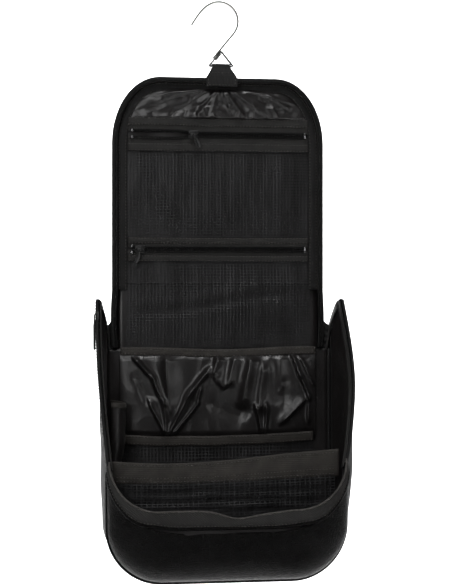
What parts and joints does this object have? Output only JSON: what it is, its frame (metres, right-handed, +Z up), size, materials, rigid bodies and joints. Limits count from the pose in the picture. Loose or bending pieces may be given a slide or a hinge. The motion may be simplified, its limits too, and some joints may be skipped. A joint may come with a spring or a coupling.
{
  "type": "hanging toiletry bag",
  "caption": "Hanging wash bag opened out on its steel hook, with a hinged cover of zipped mesh pockets over a deep padded compartment.",
  "frame": {"origin": "axis of the rail that the hook hangs on, at the middle of the hook's width", "axes": "+Z up, -Y towards the open front of the bag, +X to the viewer's right when facing the open front"},
  "size_m": [0.2316, 0.098, 0.532],
  "materials": {
    "brushed steel": "brushed strip",
    "ring steel": "polished wire",
    "webbing": "ribbed webbing",
    "outer fabric": "plain weave",
    "board": "stiffener",
    "foam": "soft foam",
    "satin lining": "satin sheen",
    "binding": "grosgrain",
    "zip tape": "woven tape",
    "zip coil": "nylon coil",
    "bright metal": "pressed metal",
    "mesh": "open mesh",
    "elastic": "ribbed elastic",
    "faux leather": "grained, semi-gloss",
    "black metal": "satin black",
    "pull rubber": "matt"
  },
  "bodies": {
    "hook": {"hook": "brushed steel"},
    "ring": {"hanging_ring": "ring steel"},
    "cover": {"hanging_tab": "webbing", "cover_skin": "outer fabric", "cover_board": "board", "cover_lining": "satin lining", "cover_binding": "binding", "cover_zip_tape": "zip tape", "cover_zip_coil": "zip coil", "cover_facing": "satin lining", "gathered_lining": "satin lining", "upper_zip_tapes": "zip tape", "upper_zip_coil": "zip coil", "upper_zip_stops": "bright metal", "upper_mesh": "mesh", "lower_zip_tapes": "zip tape", "lower_zip_coil": "zip coil", "lower_zip_stops": "bright metal", "lower_mesh_top": "mesh"},
    "upper_slider": {"upper_slider": "black metal"},
    "upper_pull": {"upper_pull": "black metal"},
    "lower_slider": {"lower_slider": "black metal"},
    "lower_pull": {"lower_pull": "black metal"},
    "compartment": {"back_skin": "outer fabric", "back_board": "board", "back_lining": "satin lining", "back_binding": "binding", "fold_strip": "outer fabric", "neck_zip_left": "zip coil", "neck_zip_right": "zip coil", "lower_mesh_bottom": "mesh", "seam_band": "binding", "satin_drape": "satin lining", "back_pocket_mesh": "mesh", "back_pocket_hem": "elastic", "divider_mesh": "mesh", "divider_hem": "elastic", "toothbrush_pocket": "satin lining", "side_skin_left": "outer fabric", "side_skin_right": "outer fabric", "side_lining_left": "satin lining", "side_lining_right": "satin lining", "base_skin": "outer fabric", "base_board": "board", "base_lining": "satin lining", "front_skin": "faux leather", "front_foam": "foam", "front_lining": "satin lining", "front_piping": "faux leather", "lip_zip_tape": "zip tape", "lip_zip_coil": "zip coil"},
    "wing_left": {"wing_left": "outer fabric", "wing_lining_left": "satin lining", "wing_zip_left": "zip coil"},
    "wing_right": {"wing_right": "outer fabric", "wing_lining_right": "satin lining", "wing_zip_right": "zip coil"},
    "main_slider": {"main_slider": "black metal"},
    "main_pull": {"main_pull": "pull rubber"}
  },
  "joints": [
    {"name": "hook_swivel", "type": "hinge", "parent": "hook", "child": "ring", "pos_m": [0.00221, 0, -0.028], "axis": [-0.6347, 0, -0.7727], "range_deg": [-30, 30]},
    {"name": "ring_swing", "type": "hinge", "parent": "ring", "child": "cover", "pos_m": [0.00221, 0, -0.042], "axis": [-1, 0, 0], "range_deg": [-50, 25]},
    {"name": "cover_fold", "type": "hinge", "parent": "cover", "child": "compartment", "pos_m": [0, -0.009, -0.263], "axis": [-1, 0, 0], "range_deg": [-10, 155]},
    {"name": "upper_zip", "type": "slide", "parent": "cover", "child": "upper_slider", "axis": [1, 0, 0], "range_m": [-0.051, 0.098]},
    {"name": "upper_pull_swing", "type": "hinge", "parent": "upper_slider", "child": "upper_pull", "pos_m": [-0.024, -0.0047, -0.107], "axis": [-1, 0, 0], "range_deg": [-5, 150]},
    {"name": "lower_zip", "type": "slide", "parent": "cover", "child": "lower_slider", "axis": [1, 0, 0], "range_m": [0, 0.148]},
    {"name": "lower_pull_swing", "type": "hinge", "parent": "lower_slider", "child": "lower_pull", "pos_m": [-0.074, -0.0047, -0.215], "axis": [-1, 0, 0], "range_deg": [-5, 150]},
    {"name": "wing_fold_left", "type": "hinge", "parent": "compartment", "child": "wing_left", "pos_m": [-0.10445, 0.0017, -0.308], "axis": [0, -0.562, -0.8271], "range_deg": [-12, 14]},
    {"name": "wing_fold_right", "type": "hinge", "parent": "compartment", "child": "wing_right", "pos_m": [0.10445, 0.0017, -0.308], "axis": [0, 0.562, 0.8271], "range_deg": [-12, 14]},
    {"name": "main_zip", "type": "slide", "parent": "wing_left", "child": "main_slider", "axis": [0.0404, -0.3942, -0.9181], "range_m": [-0.002, 0.118]},
    {"name": "main_pull_swing", "type": "hinge", "parent": "main_slider", "child": "main_pull", "pos_m": [-0.11698, -0.01437, -0.27851], "axis": [0.172, 0.9851, 0.0102], "range_deg": [-8, 120]}
  ]
}
